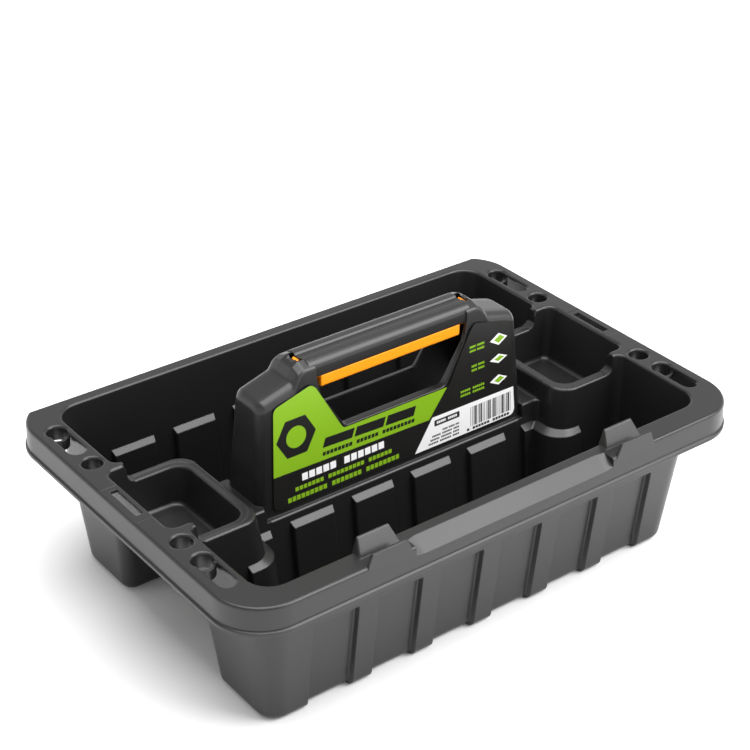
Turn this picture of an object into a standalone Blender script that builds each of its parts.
"""Tool caddy: a one-piece moulded tray with two bins, two small tubs and a hollow carrying handle,
a snap-in grip under the handle bar and a printed label on the handle's front plate.

Metres, +Z up. The origin is on the ground, under the middle of the tray. +X runs along the length,
-Y is the front. Every height below is measured from the ground.
"""

import math

import bmesh
import bpy
from mathutils import Matrix, Vector

MM = 0.001
PART = "tool_caddy"

# ---------------------------------------------------------------- driving dimensions, millimetres
WALL = 2.5  # thickness of every moulded wall
FIT_GAP = 0.3  # clearance between separate pieces
OVER = 2.0  # how far a cutter runs past what it cuts

RIM_HEIGHT = 139.5
RIM_LENGTH = 500.0
RIM_WIDTH = 349.0
RIM_CORNER_R = 42.0
RIM_EDGE = 2.0  # rounding of the rim's top outer edge
DECK = 3.0  # thickness of the rim's flat top
SKIRT_DEPTH = 24.3
LIP_HEIGHT = 4.0
LIP_OUT = 1.4
END_RIM = 30.0  # width of the rim's flat top at the ends
LONG_RIM = 23.2  # and along the front and the back

BIN_LENGTH = RIM_LENGTH - 2 * END_RIM  # inside, at rim height
BIN_OUTER_Y = RIM_WIDTH / 2 - LONG_RIM  # inside face of the long outer wall, at rim height
BIN_CORNER_R = 20.0
BIN_CORNER_TAPER = 0.045  # the outer corners get tighter by this much per mm down
BIN_INNER_CORNER_R = 8.0
BIN_SLOPE = 0.112  # draft of the bins' walls
BIN_END_SLOPE = 0.9 * BIN_SLOPE
BIN_FLOOR = 2.5
BIN_BOTTOM_EDGE = 5.0

TUB_DECK = RIM_HEIGHT - 16.5  # ledge around the tubs
TUB_DEPTH = 33.5  # below that ledge
TUB_FLOOR = TUB_DECK - TUB_DEPTH
LEDGE_X = RIM_LENGTH / 2 - 37.5  # where the ledge ends at a short wall up to the rim
TUB_X_IN = 162.4  # tub wall that faces the handle, at ledge height
TUB_X_END = RIM_LENGTH / 2 - 18.5  # tub wall that cuts into the end rim, at rim height
TUB_HALF_W = 47.3
TUB_CORNER_R = 12.0
TUB_DRAFT = 0.085
TUB_END_DRAFT = 0.13
TUB_IN_DRAFT = 0.165

BETWEEN_X = TUB_X_IN - 6.8  # bins' wall beside the tubs, at rim height
BETWEEN_X_SLOPE = 0.14
TUB_SIDE_Y = TUB_HALF_W + 6.7  # bins' wall in front of a tub, at rim height
TUB_SIDE_R = 16.0
PYLON_Y = 23.3  # half width of the handle body at rim height
PYLON_Y_SLOPE = 0.062
SPINE_Y = PYLON_Y + 1.0  # bins' wall along the spine, extended up to rim height
SPINE_R = 4.0
SHARP_R = 0.6  # smallest rounding of a corner
SPINE_DECK = RIM_HEIGHT - 34.0  # low bridge between the handle and each tub
SPINE_SHELF = SPINE_DECK - 12.0  # foot of the handle's long plates

PANELS = 6  # recessed panels along each long wall
PANEL_PITCH = 60.7
PANEL_DEPTH = 4.6
PANEL_TOP_DROP = 4.3  # height of the sloping ledge above a panel
PANEL_TOP = SPINE_SHELF - 6.9  # height where the sloping ledge starts
CORNER_PANEL_X = BETWEEN_X - 14.6  # face of the panel beside a tub, at the height where its ledge starts
CORNER_PANEL_X_SLOPE = 0.072
CORNER_PANEL_R = 1.5
FRONT_PANEL_W = 47.0
PANEL_W = 42.0
PANEL_SIDE_DRAFT = 1.2

HANDLE_RISE = 75.0  # top of the handle above the rim
HANDLE_TOP = RIM_HEIGHT + HANDLE_RISE
PYLON_X = 134.3  # half length of the handle body at rim height
PYLON_X_SLOPE = 0.07
PYLON_R = 10.0
SHELF_X = PYLON_X - 1.3
CLIP_X = 84.0  # the snap hooks of the grip and their slots
CAP_TOP_X = CLIP_X + 3.0
CAP_TOP_Y = 8.0
CAP_SIDE = (CAP_TOP_X + 5.0, HANDLE_TOP - 3.5)
SHOULDER_OUT = (PYLON_X - 3.7, HANDLE_TOP - 22.5)
SHOULDER_IN = (CAP_SIDE[0] + 5.0, HANDLE_TOP - 12.5)

BAR_HALF_LENGTH = CLIP_X - 8.0
BAR_HALF_W = 16.2
BAR_HEIGHT = 15.0
BAR_BOTTOM = HANDLE_TOP - BAR_HEIGHT
BAR_EDGE_R = 6.0
BAR_WALL = 2.8
CAP_EDGE = (BAR_HALF_W + 2.4, HANDLE_TOP - 5.5)
GROOVE_HALF_W = 3.0
GROOVE_DEPTH = 1.5

HAND_HOLE_FOOT = (51.0, RIM_HEIGHT + 10.8)
HAND_HOLE_SIDE = ((BAR_HALF_LENGTH - 3.7, HANDLE_TOP - 30.5), (BAR_HALF_LENGTH - 1.2, HANDLE_TOP - 18.5))
HAND_HOLE_TOP = (BAR_HALF_LENGTH - 0.4, BAR_BOTTOM)
FRONT_FLANGE = 8.0
BACK_FLANGE = 5.0

HOOK = (2.8, 11.0)
HOOK_PLAY = (1.6, 4.0)  # how much wider the slots are than the hooks
HOOK_TOP = HANDLE_TOP - 1.3
GRIP_HALF_LENGTH = BAR_HALF_LENGTH - 5.7
GRIP_DEPTH = 9.6
GRIP_EDGE_R = 3.0
TONGUE_HALF_LENGTH = CLIP_X + 1.5
TONGUE_RISE = 5.5  # how far the tongue reaches up into the bar

HOLE_X = RIM_LENGTH / 2 - 17.6
HOLE_Y = TUB_HALF_W + 18.1
HOLE_D = 17.0
SINK_D = 24.0
SINK_DEPTH = 3.2
COLLAR_DEPTH = 12.0  # the round holes run on down through a collar
COLLAR_WALL = 2.0
KEYHOLES = ((122.4, 82.0), (-93.4, -130.0))  # round end and far end of each keyhole, along Y
KEY_SLOT_W = 16.0
BLADE_SLOT_X = (HOLE_X + 3.6, HOLE_X + 9.6)
BLADE_SLOT_Y = (-17.5, 22.0)

CHAMFER_HALF_LENGTH = 98.7
FRONT_CHAMFER = (RIM_WIDTH / 2 - 13.5, 9.0)  # starts at this y, drops this much at the skirt
BACK_CHAMFER = (RIM_WIDTH / 2 - 13.2, 12.0)
TAB_BASE = (103.5, 141.5)
TAB_TOP = (108.3, 137.2)
TAB_Y = (BIN_OUTER_Y - 0.5, BIN_OUTER_Y + 10.9)
TAB_RISE = 12.6
UPSTAND_X = (107.2, 139.3)
UPSTAND_RISE = 10.3

LABEL_T = 0.25
LABEL_BOTTOM = (PYLON_X - 9.8, SPINE_SHELF + 5.0)
LABEL_TOP_OUT = (PYLON_X - 14.8, HANDLE_TOP - 25.7)
LABEL_TOP_IN = (BAR_HALF_LENGTH + 7.0, HANDLE_TOP - 15.9)
LABEL_WAIST = (BAR_HALF_LENGTH + 2.6, HANDLE_TOP - 20.5)
LABEL_NOTCH = (HAND_HOLE_FOOT[0] + 3.0, HAND_HOLE_FOOT[1] - 1.0)
LABEL_R = 6.0


# ---------------------------------------------------------------- scene and helpers
def clear_scene():
    for obj in list(bpy.data.objects):
        bpy.data.objects.remove(obj, do_unlink=True)


def collection(name):
    made = bpy.data.collections.new(name)
    bpy.context.scene.collection.children.link(made)
    return made


def material(name, colour, roughness, metallic=0.0):
    mat = bpy.data.materials.new(name)
    mat.use_nodes = True
    shader = mat.node_tree.nodes["Principled BSDF"]
    shader.inputs["Base Color"].default_value = (*colour, 1.0)
    shader.inputs["Roughness"].default_value = roughness
    shader.inputs["Metallic"].default_value = metallic
    return mat


def loft(name, rings, where):
    """A closed solid through rings of points (millimetres), lowest first, each anticlockwise from above."""
    bm = bmesh.new()
    rows = [[bm.verts.new(Vector(p) * MM) for p in ring] for ring in rings]
    for low, high in zip(rows, rows[1:]):
        count = len(low)
        for i in range(count):
            j = (i + 1) % count
            bm.faces.new((low[i], low[j], high[j], high[i]))
    bm.faces.new(list(reversed(rows[0])))
    bm.faces.new(rows[-1])
    bmesh.ops.connect_verts_nonplanar(bm, angle_limit=math.radians(0.01), faces=bm.faces)
    mesh = bpy.data.meshes.new(name)
    bm.to_mesh(mesh)
    bm.free()
    obj = bpy.data.objects.new(name, mesh)
    where.objects.link(obj)
    return obj


def extrude(name, outline, along, low, high, where):
    """A prism: an outline of two coordinates, anticlockwise, carried along the third axis."""
    turn = {
        "x": lambda a, b, t: (t, a, b),
        "y": lambda a, b, t: (a, -t, b),
        "z": lambda a, b, t: (a, b, t),
    }[along]
    return loft(name, [[turn(a, b, t) for a, b in outline] for t in (low, high)], where)


def box(name, x, y, z, where):
    outline = [(x[0], y[0]), (x[1], y[0]), (x[1], y[1]), (x[0], y[1])]
    return extrude(name, outline, "z", z[0], z[1], where)


def rounded(corners, radii, steps=5):
    """An outline whose corners are arcs. A radius of 0 keeps the corner."""
    out = []
    count = len(corners)
    for i in range(count):
        here = Vector(corners[i])
        before = (Vector(corners[i - 1]) - here).normalized()
        after = (Vector(corners[(i + 1) % count]) - here).normalized()
        radius = radii[i]
        if radius <= 0:
            out.append(tuple(here))
            continue
        half = before.angle(after) / 2
        reach = radius / math.tan(half)
        centre = here + (before + after).normalized() * (radius / math.sin(half))
        start = here + before * reach - centre
        sweep = start.angle_signed(here + after * reach - centre)
        for k in range(steps + 1):
            turned = Matrix.Rotation(-sweep * k / steps, 2) @ start
            out.append(tuple(centre + turned))
    return out


def at_height(outline, z):
    return [(x, y, z) for x, y in outline]


def boolean(target, other, kind):
    mod = target.modifiers.new(kind.lower(), "BOOLEAN")
    mod.operation = kind
    mod.solver = "EXACT"
    mod.object = other
    other.hide_render = True
    other.display_type = "WIRE"


def cut(target, *others):
    for other in others:
        boolean(target, other, "DIFFERENCE")


def join(target, *others):
    for other in others:
        boolean(target, other, "UNION")


def keep_common(target, *others):
    for other in others:
        boolean(target, other, "INTERSECT")


# ---------------------------------------------------------------- outlines of the tray
def down(z):
    """Depth below the rim."""
    return RIM_HEIGHT - z


def rim_outline(grow, steps=8):
    hx, hy = RIM_LENGTH / 2 + grow, RIM_WIDTH / 2 + grow
    r = RIM_CORNER_R + grow
    return rounded([(-hx, -hy), (hx, -hy), (hx, hy), (-hx, hy)], [r] * 4, steps)


def bin_outline(z, grow, back=False):
    """A bin seen from above at height z: a long bay that reaches further in between the two tubs."""
    d = down(z)
    xe = BIN_LENGTH / 2 - BIN_END_SLOPE * d + grow
    yf = BIN_OUTER_Y - BIN_SLOPE * d + grow
    yt = TUB_SIDE_Y + BIN_SLOPE * d - grow
    xt = BETWEEN_X - BETWEEN_X_SLOPE * d + grow
    ys = SPINE_Y + BIN_SLOPE * d - grow
    corners = [(-xe, -yf), (xe, -yf), (xe, -yt), (xt, -yt), (xt, -ys), (-xt, -ys), (-xt, -yt), (-xe, -yt)]
    inner, tub, spine = BIN_INNER_CORNER_R + grow, TUB_SIDE_R - grow, max(SPINE_R + grow, SHARP_R)
    outer = BIN_CORNER_R - BIN_CORNER_TAPER * d + grow
    radii = [outer, outer, inner, tub, spine, spine, tub, inner]
    outline = rounded(corners, radii)
    if back:
        outline = [(-x, -y) for x, y in outline]
    return outline


def bin_solid(name, bottom, top, grow, back, where):
    rings = [
        at_height(bin_outline(bottom, grow - BIN_BOTTOM_EDGE, back), bottom),
        at_height(bin_outline(bottom + BIN_BOTTOM_EDGE, grow, back), bottom + BIN_BOTTOM_EDGE),
        at_height(bin_outline(top, grow, back), top),
    ]
    return loft(name, rings, where)


def tub_outline(z, grow, side):
    d = down(z)
    x_in = TUB_X_IN + TUB_IN_DRAFT * (TUB_DECK - z) - grow
    x_end = TUB_X_END - TUB_END_DRAFT * d + grow
    half = TUB_HALF_W + grow - TUB_DRAFT * d
    r_in, r_end = TUB_CORNER_R + grow, BIN_INNER_CORNER_R + grow
    if side < 0:
        corners = [(-x_end, -half), (-x_in, -half), (-x_in, half), (-x_end, half)]
        return rounded(corners, [r_end, r_in, r_in, r_end])
    corners = [(x_in, -half), (x_end, -half), (x_end, half), (x_in, half)]
    return rounded(corners, [r_in, r_end, r_end, r_in])


# ---------------------------------------------------------------- sunken panels in the bins' walls
def panel_spans():
    """The middle of each panel along X."""
    return [(i - (PANELS - 1) / 2) * PANEL_PITCH for i in range(PANELS)]


def panel_levels(grow):
    """Heights of a panel's body and how far it stands out there; its sloping top runs on into the wall."""
    steep = PANEL_TOP_DROP / PANEL_DEPTH
    into = WALL / 4
    return (
        (-OVER, PANEL_DEPTH),
        (PANEL_TOP - PANEL_TOP_DROP + grow, PANEL_DEPTH),
        (PANEL_TOP + into * steep + grow, -into),
    )


def panel_wedge(name, middle, width, wall_y, sign, grow, where):
    """A panel's body: in front of the wall face wall_y(z), on the side given by sign, down past the floor."""
    rings = []
    for z, depth in panel_levels(grow):
        half = width / 2 + grow - PANEL_SIDE_DRAFT * depth / PANEL_DEPTH
        root = half + PANEL_SIDE_DRAFT * depth / PANEL_DEPTH
        y_wall = wall_y(z)
        y_root = y_wall - sign * (WALL + OVER)
        y_face = y_wall + sign * (depth + grow)
        ring = [(-root, y_root), (root, y_root), (half, y_face), (-half, y_face)]
        if sign < 0:
            ring.reverse()
        rings.append([(middle + x, y, z) for x, y in ring])
    return loft(name, rings, where)


def corner_wedge(name, side, back, grow, where):
    """The panel that runs from the spine round the tub's corner to the wall in front of the tub."""
    outer_x = panel_spans()[-1] + FRONT_PANEL_W / 2 + grow - WALL
    spine_x = panel_spans()[-1] - PANEL_W / 2 - grow
    rings = []
    for z, depth in panel_levels(grow):
        d = down(z)
        reach = depth + grow
        draft = PANEL_SIDE_DRAFT * depth / PANEL_DEPTH
        y_tub = TUB_SIDE_Y + BIN_SLOPE * d + reach
        y_spine = SPINE_Y + BIN_SLOPE * d + reach
        x_tub = BETWEEN_X - BETWEEN_X_SLOPE * d - reach
        if depth > 0:
            x_tub = CORNER_PANEL_X - CORNER_PANEL_X_SLOPE * (PANEL_TOP - z) - grow
        root = SPINE_Y + BIN_SLOPE * d - WALL - OVER
        corners = [
            (spine_x + draft, -y_spine),
            (x_tub, -y_spine),
            (x_tub, -y_tub),
            (outer_x - draft, -y_tub),
            (outer_x, -root),
            (spine_x, -root),
        ]
        outline = rounded(corners, [0, CORNER_PANEL_R, TUB_SIDE_R + reach, 0, 0, 0])
        if side < 0:
            outline = [(-x, y) for x, y in reversed(outline)]
        if back:
            outline = [(x, -y) for x, y in reversed(outline)]
        rings.append(at_height(outline, z))
    return loft(name, rings, where)


def outer_wall(sign):
    return lambda z: sign * (BIN_OUTER_Y - BIN_SLOPE * down(z))


def spine_wall(sign):
    return lambda z: sign * (SPINE_Y + BIN_SLOPE * down(z))


def panels(sign, grow, where):
    """Every panel of the front (sign -1) or back (sign +1) bin."""
    tag = ("front" if sign < 0 else "back") + ("_recess" if grow < 0 else "_panel")
    wide = FRONT_PANEL_W if sign < 0 else PANEL_W
    made = []
    for i, middle in enumerate(panel_spans()):
        made.append(panel_wedge(f"{tag}_outer_{i}", middle, wide, outer_wall(sign), -sign, grow, where))
        if 0 < i < PANELS - 1:
            made.append(panel_wedge(f"{tag}_spine_{i}", middle, PANEL_W, spine_wall(sign), sign, grow, where))
    for side in (-1, 1):
        made.append(corner_wedge(f"{tag}_corner_{side}", side, sign > 0, grow, where))
    return made


# ---------------------------------------------------------------- the tray
def bins(where):
    """The outer bodies of both bins and the cavities that go inside them."""
    bodies, cavities = [], []
    for sign, tag in ((-1, "front"), (1, "back")):
        back = sign > 0
        body = bin_solid(f"{tag}_bin_body", 0.0, RIM_HEIGHT - DECK / 2, WALL, back, where)
        cut(body, *panels(sign, -WALL, where))
        cavity = bin_solid(f"{tag}_bin_cavity", BIN_FLOOR, RIM_HEIGHT + OVER, 0.0, back, where)
        cut(cavity, *panels(sign, 0.0, where))
        bodies.append(body)
        cavities.append(cavity)
    return bodies, cavities


def tub(side, grow, floor, top, where):
    name = f"tub_{'left' if side < 0 else 'right'}_{'body' if grow else 'cavity'}"
    rings = [at_height(tub_outline(z, grow, side), z) for z in (floor, top)]
    return loft(name, rings, where)


def chamfer(name, x_range, start, drop, sign, lower, where):
    """A wedge along the rim's long edge: all above the slope from (start, rim) to (skirt, rim - drop)."""
    y_edge = RIM_WIDTH / 2
    slope = drop / (y_edge - start)
    y_far = y_edge + 4 * OVER
    outline = [
        (start - 2 * OVER, RIM_HEIGHT + 2 * OVER * slope - lower),
        (y_far, RIM_HEIGHT - (y_far - start) * slope - lower),
        (y_far, RIM_HEIGHT + 4 * OVER),
        (start - 2 * OVER, RIM_HEIGHT + 4 * OVER),
    ]
    if sign < 0:
        outline = [(-y, z) for y, z in reversed(outline)]
    return extrude(name, outline, "x", x_range[0], x_range[1], where)


def front_tab(side, where):
    """A wedge-shaped stop on the rim and a short upstand of the skirt in front of it."""
    z0, z1 = RIM_HEIGHT - DECK / 2, RIM_HEIGHT + TAB_RISE
    x0, x1 = sorted(side * v for v in TAB_BASE)
    u0, u1 = sorted(side * v for v in TAB_TOP)
    y_back, y_front = -TAB_Y[0], -TAB_Y[1]
    base = [(x0, y_front, z0), (x1, y_front, z0), (x1, y_back, z0), (x0, y_back, z0)]
    y_crest = y_back - 1.0
    crest = [(u0, y_crest, z1), (u1, y_crest, z1), (u1, y_back, z1), (u0, y_back, z1)]
    wedge = loft(f"tab_{side}", [base, crest], where)
    w0, w1 = sorted(side * v for v in UPSTAND_X)
    y_skirt = -RIM_WIDTH / 2 + 0.6
    upstand = box(
        f"upstand_{side}", (w0, w1), (y_skirt, y_skirt + WALL),
        (RIM_HEIGHT - 2 * DECK, RIM_HEIGHT + UPSTAND_RISE), where,
    )
    return wedge, upstand


def turned(name, x, y, profile, where, steps=24):
    """A round body about a vertical axis, from (height, radius) pairs, lowest first."""
    around = [2 * math.pi * k / steps for k in range(steps)]
    rings = [[(x + r * math.cos(a), y + r * math.sin(a), z) for a in around] for z, r in profile]
    return loft(name, rings, where)


def rim_holes(where):
    """Sunk round holes with collars, keyholes and a narrow slot in each end rim: what to add, what to cut."""
    collars, cuts = [], []
    top = RIM_HEIGHT + OVER
    low = RIM_HEIGHT - COLLAR_DEPTH - OVER
    sink = (SINK_D - HOLE_D) / (2 * SINK_DEPTH)
    hole = (
        (low, HOLE_D / 2),
        (RIM_HEIGHT - SINK_DEPTH, HOLE_D / 2),
        (top, SINK_D / 2 + OVER * sink),
    )
    collar = (
        (RIM_HEIGHT - COLLAR_DEPTH, HOLE_D / 2 + COLLAR_WALL),
        (RIM_HEIGHT - DECK / 2, HOLE_D / 2 + COLLAR_WALL),
    )
    for side in (-1, 1):
        x = side * HOLE_X
        for y in (-HOLE_Y, HOLE_Y, *(y_round for y_round, y_end in KEYHOLES)):
            collars.append(turned(f"collar_{side}_{y:.0f}", x, y, collar, where))
            cuts.append(turned(f"hole_{side}_{y:.0f}", x, y, hole, where))
        for y_round, y_end in KEYHOLES:
            half = KEY_SLOT_W / 2
            outline = [(x - half, y_end), (x + half, y_end), (x + half, y_round), (x - half, y_round)]
            slot = rounded(outline, [half * 0.99, half * 0.99, 0, 0])
            z_slot = RIM_HEIGHT - DECK - OVER / 2
            cuts.append(extrude(f"slot_{side}_{y_round:.0f}", slot, "z", z_slot, top, where))
        x0, x1 = sorted(side * v for v in BLADE_SLOT_X)
        cuts.append(box(f"blade_slot_{side}", (x0, x1), BLADE_SLOT_Y, (low, top), where))
    return collars, cuts


def handle_outline(inset):
    """The handle body from the front: base, sloping shoulders, steep cap sides and a flat top."""
    base = SPINE_SHELF - 5 * WALL - OVER
    half = [
        (PYLON_X + PYLON_X_SLOPE * down(base) + OVER, base),
        (SHOULDER_OUT[0] - inset + 4 * OVER, base + OVER),
        (SHOULDER_OUT[0] - inset + 4 * OVER, SHOULDER_OUT[1] - inset - 3.0),
        (SHOULDER_IN[0] - inset, SHOULDER_IN[1] - inset),
        (CAP_SIDE[0] - inset, CAP_SIDE[1] - inset),
        (CAP_TOP_X - inset, HANDLE_TOP - inset),
    ]
    return half + [(-x, z) for x, z in reversed(half)]


def handle_section(inset):
    """The handle body from the end: two leaning plates under a cap that slopes up to a flat top."""
    base = SPINE_SHELF - 5 * WALL - OVER
    half = [
        (PYLON_Y + PYLON_Y_SLOPE * down(base) + OVER - inset, base),
        (CAP_EDGE[0] + 2 * OVER - inset, CAP_EDGE[1] - 2 * OVER - inset),
        (CAP_EDGE[0] - inset, CAP_EDGE[1] - inset),
        (CAP_TOP_Y - inset, HANDLE_TOP - inset),
    ]
    return half + [(-y, z) for y, z in reversed(half)]


def handle_body(name, inset, where):
    """The whole handle before the hand hole is cut, or its hollow where inset is a wall thickness."""
    rings = []
    for z in (SPINE_SHELF - WALL - (3 * WALL if inset else 0), HANDLE_TOP + OVER):
        hx = PYLON_X + PYLON_X_SLOPE * down(z) - inset
        hy = PYLON_Y + PYLON_Y_SLOPE * down(z) - inset
        corners = [(-hx, -hy), (hx, -hy), (hx, hy), (-hx, hy)]
        rings.append(at_height(rounded(corners, [PYLON_R - inset] * 4), z))
    body = loft(name, rings, where)
    front = handle_outline(inset)
    section = handle_section(inset)
    keep_common(
        body,
        extrude(f"{name}_front", front, "y", -3 * PYLON_Y, 3 * PYLON_Y, where),
        extrude(f"{name}_end", section, "x", -2 * PYLON_X, 2 * PYLON_X, where),
    )
    return body


def hand_hole_outline(grow):
    half = [
        (HAND_HOLE_FOOT[0] + grow, HAND_HOLE_FOOT[1] - grow),
        *((x + grow, z) for x, z in HAND_HOLE_SIDE),
        (HAND_HOLE_TOP[0] + grow, HAND_HOLE_TOP[1] + grow),
    ]
    return half + [(-x, z) for x, z in reversed(half)]


def bar_section(inset, bottom):
    """The bar from the end: a flat top with rounded edges, open below."""
    w, top = BAR_HALF_W - inset, HANDLE_TOP - inset
    r = BAR_EDGE_R - inset
    return rounded([(-w, bottom), (w, bottom), (w, top), (-w, top)], [0, 0, r, r])


def handle_cutters(where):
    """What is taken from the handle: its hollow, the hand hole, the sides of the bar, groove and slots."""
    hollow = handle_body("handle_hollow", WALL, where)
    wide = 3 * PYLON_Y
    for tag, low, high in (
        ("front", PYLON_Y - FRONT_FLANGE, wide),
        ("back", -wide, -(PYLON_Y - BACK_FLANGE)),
    ):
        frame = extrude(f"flange_{tag}", hand_hole_outline(WALL), "y", low, high, where)
        cut(hollow, frame)
    bar_x = BAR_HALF_LENGTH + WALL
    cut(hollow, box("bar_zone", (-bar_x, bar_x), (-wide, wide), (BAR_BOTTOM - OVER, HANDLE_TOP), where))

    hole = extrude("hand_hole", hand_hole_outline(0.0), "y", -wide, wide, where)

    sides = box(
        "bar_sides", (-BAR_HALF_LENGTH, BAR_HALF_LENGTH), (-wide, wide),
        (BAR_BOTTOM - OVER, HANDLE_TOP + OVER), where,
    )
    core = extrude(
        "bar_core", bar_section(0.0, BAR_BOTTOM - 2 * OVER), "x",
        -BAR_HALF_LENGTH - OVER, BAR_HALF_LENGTH + OVER, where,
    )
    cut(sides, core)
    channel = extrude(
        "bar_channel", bar_section(BAR_WALL, BAR_BOTTOM - 2 * OVER), "x",
        -CAP_TOP_X + WALL, CAP_TOP_X - WALL, where,
    )
    groove = box(
        "groove", (-CAP_TOP_X - OVER, CAP_TOP_X + OVER), (-GROOVE_HALF_W, GROOVE_HALF_W),
        (HANDLE_TOP - GROOVE_DEPTH, HANDLE_TOP + OVER), where,
    )
    slots = []
    for side in (-1, 1):
        x = side * CLIP_X
        half_x, half_y = ((size + play) / 2 for size, play in zip(HOOK, HOOK_PLAY))
        slots.append(box(
            f"clip_slot_{side}", (x - half_x, x + half_x), (-half_y, half_y),
            (HANDLE_TOP - 3 * WALL, HANDLE_TOP + OVER), where,
        ))
    return [hollow, hole, sides, channel, groove, *slots]


def make_tray(parts, tools, mat):
    edge = RIM_HEIGHT - SKIRT_DEPTH
    tray = loft("tray", [
        at_height(rim_outline(LIP_OUT), edge),
        at_height(rim_outline(LIP_OUT), edge + LIP_HEIGHT),
        at_height(rim_outline(0.0), edge + LIP_HEIGHT + LIP_OUT / 2),
        at_height(rim_outline(-RIM_EDGE / 4), RIM_HEIGHT - RIM_EDGE),
        at_height(rim_outline(-RIM_EDGE), RIM_HEIGHT),
    ], parts)

    # the space under the rim
    under = loft("rim_hollow", [
        at_height(rim_outline(-WALL, 6), edge - OVER),
        at_height(rim_outline(-WALL, 6), RIM_HEIGHT - DECK),
    ], tools)
    cut(
        under,
        chamfer("front_keep", (-CHAMFER_HALF_LENGTH - WALL, CHAMFER_HALF_LENGTH + WALL),
                FRONT_CHAMFER[0], FRONT_CHAMFER[1], -1, 1.3 * WALL, tools),
        chamfer("back_keep", (-RIM_LENGTH, RIM_LENGTH),
                BACK_CHAMFER[0], BACK_CHAMFER[1], 1, 1.4 * WALL, tools),
    )
    cut(tray, under)

    # bins and tubs as solid bodies, then the decks and the short walls that join them
    bodies, cavities = bins(tools)
    hidden = RIM_HEIGHT - DECK / 2
    tub_bodies = [tub(s, WALL, TUB_FLOOR - WALL, hidden, tools) for s in (-1, 1)]
    join(tray, *bodies, *tub_bodies)
    across = TUB_SIDE_Y + BIN_SLOPE * down(TUB_DECK) + WALL
    along_spine = SPINE_Y + BIN_SLOPE * down(SPINE_DECK) + WALL
    x_tub = BETWEEN_X - BETWEEN_X_SLOPE * down(TUB_DECK)
    x_riser = BETWEEN_X - BETWEEN_X_SLOPE * down(SPINE_DECK)
    x_wall = BIN_LENGTH / 2 - BIN_END_SLOPE * down(TUB_DECK)
    for side in (-1, 1):
        deck_x = sorted((side * x_tub, side * (x_wall + WALL)))
        riser_x = sorted((side * x_riser, side * (x_riser + 1.5 * WALL)))
        end_x = sorted((side * (LEDGE_X - WALL / 2), side * (LEDGE_X + WALL)))
        join(
            tray,
            box(f"tub_deck_{side}", deck_x, (-across, across), (TUB_DECK - WALL, TUB_DECK + OVER), tools),
            box(f"riser_{side}", riser_x, (-along_spine, along_spine), (SPINE_DECK - WALL, TUB_DECK), tools),
            box(f"end_wall_{side}", end_x, (-across - OVER, across + OVER),
                (TUB_DECK - WALL / 2, hidden), tools),
        )
    join(
        tray,
        box("spine_deck", (-x_tub, x_tub), (-along_spine, along_spine),
            (SPINE_DECK - WALL, SPINE_DECK + OVER), tools),
        box("spine_shelf", (-SHELF_X - WALL, SHELF_X + WALL), (-along_spine, along_spine),
            (SPINE_SHELF - WALL, SPINE_DECK - WALL / 2), tools),
    )

    # bins, tubs and the lowered decks between them, all from above
    up = RIM_HEIGHT + OVER
    wide = TUB_SIDE_Y + 4 * WALL
    x_up = LEDGE_X + BIN_END_SLOPE * OVER
    tub_gap = loft("tub_gap", [
        [(-LEDGE_X, -wide, TUB_DECK), (LEDGE_X, -wide, TUB_DECK),
         (LEDGE_X, wide, TUB_DECK), (-LEDGE_X, wide, TUB_DECK)],
        [(-x_up, -wide, up), (x_up, -wide, up), (x_up, wide, up), (-x_up, wide, up)],
    ], tools)
    x_high = BETWEEN_X - BETWEEN_X_SLOPE * down(TUB_DECK + OVER)
    y_gap = along_spine
    z_gap = TUB_DECK + OVER
    spine_gap = loft("spine_gap", [
        [(-x_riser, -y_gap, SPINE_DECK), (x_riser, -y_gap, SPINE_DECK),
         (x_riser, y_gap, SPINE_DECK), (-x_riser, y_gap, SPINE_DECK)],
        [(-x_high, -y_gap, z_gap), (x_high, -y_gap, z_gap), (x_high, y_gap, z_gap), (-x_high, y_gap, z_gap)],
    ], tools)
    shelves = [
        box(f"shelf_{tag}", (-SHELF_X, SHELF_X), y, (SPINE_SHELF, SPINE_DECK + 2 * OVER), tools)
        for tag, y in (("front", (-2 * y_gap, -PYLON_Y)), ("back", (PYLON_Y, 2 * y_gap)))
    ]
    tub_cavities = [tub(s, 0.0, TUB_FLOOR, up, tools) for s in (-1, 1)]
    cut(tray, *cavities, tub_gap, spine_gap, *shelves, *tub_cavities)

    # handle
    join(tray, handle_body("handle", 0.0, tools))
    cut(tray, *handle_cutters(tools))

    # front tabs, chamfered edges and the holes in the end rims
    cut(
        tray,
        chamfer("front_chamfer", (-CHAMFER_HALF_LENGTH, CHAMFER_HALF_LENGTH),
                FRONT_CHAMFER[0], FRONT_CHAMFER[1], -1, 0.0, tools),
        chamfer("back_chamfer", (-RIM_LENGTH, RIM_LENGTH),
                BACK_CHAMFER[0], BACK_CHAMFER[1], 1, 0.0, tools),
    )
    for side in (-1, 1):
        join(tray, *front_tab(side, tools))
    collars, holes = rim_holes(tools)
    join(tray, *collars)
    cut(tray, *holes)
    tray.data.materials.append(mat)
    return tray


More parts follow.
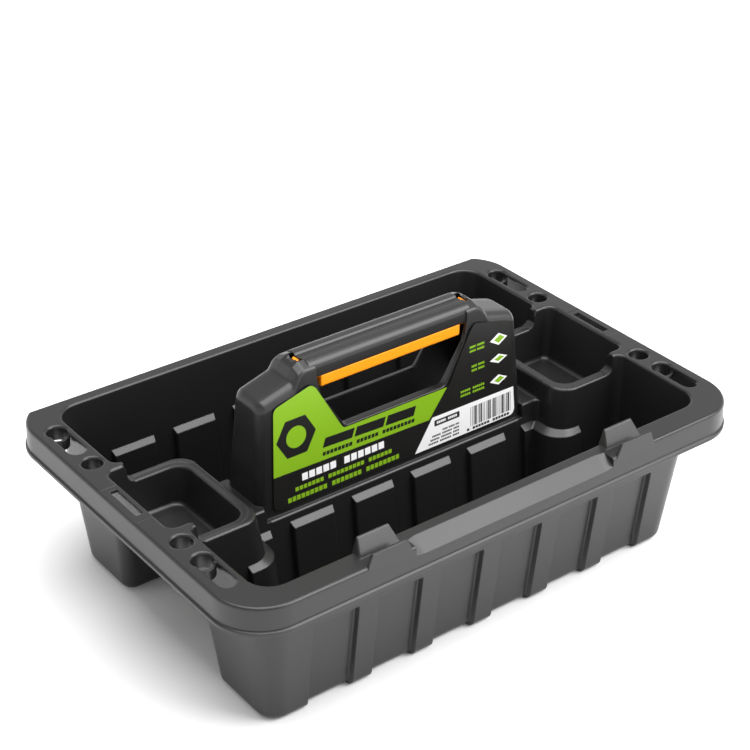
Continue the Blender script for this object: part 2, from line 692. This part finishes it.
# ---------------------------------------------------------------- the loose pieces
def make_grip(parts, tools, mat):
    """The grip closes the underside of the bar. Its tongue lies in the bar and ends in two snap hooks."""
    top = BAR_BOTTOM - FIT_GAP
    w, low = BAR_HALF_W, BAR_BOTTOM - GRIP_DEPTH
    tongue_top = BAR_BOTTOM + TONGUE_RISE
    section = rounded([(-w, low), (w, low), (w, top), (-w, top)], [GRIP_EDGE_R, GRIP_EDGE_R, 0, 0])
    grip = extrude("grip_insert", section, "x", -GRIP_HALF_LENGTH, GRIP_HALF_LENGTH, parts)
    tongue_w = BAR_HALF_W - BAR_WALL - FIT_GAP
    tongue = box(
        "tongue", (-TONGUE_HALF_LENGTH, TONGUE_HALF_LENGTH), (-tongue_w, tongue_w),
        (top - OVER, tongue_top), tools,
    )
    join(grip, tongue)
    for side in (-1, 1):
        x = side * CLIP_X
        hook = box(
            f"hook_{side}", (x - HOOK[0] / 2, x + HOOK[0] / 2), (-HOOK[1] / 2, HOOK[1] / 2),
            (tongue_top - OVER, HOOK_TOP), tools,
        )
        join(grip, hook)
    grip.data.materials.append(mat)
    return grip


def make_label(parts, mat):
    """A thin printed sheet on the front plate, cut out along the hand hole."""
    half = [LABEL_BOTTOM, LABEL_TOP_OUT, LABEL_TOP_IN, LABEL_WAIST, LABEL_NOTCH]
    corners = half + [(-x, z) for x, z in reversed(half)]
    radii = [LABEL_R, LABEL_R, LABEL_R, 0, 0]
    outline = rounded(corners, radii + list(reversed(radii)))
    rings = []
    for lift in (FIT_GAP, FIT_GAP + LABEL_T):
        ring = [(x, -(PYLON_Y + PYLON_Y_SLOPE * down(z) + lift), z) for x, z in outline]
        rings.append(ring)
    label = loft("label_front", rings, parts)
    label.data.materials.append(mat)
    return label


def main():
    clear_scene()
    parts = collection(PART)
    tools = collection(PART + "_cutters")
    black = material("black_polypropylene", (0.022, 0.021, 0.021), 0.48)
    amber = material("amber_polypropylene", (1.0, 0.42, 0.0), 0.4)
    print_mat = material("printed_label", (0.30, 0.47, 0.02), 0.35)
    make_tray(parts, tools, black)
    make_grip(parts, tools, amber)
    make_label(parts, print_mat)


main()
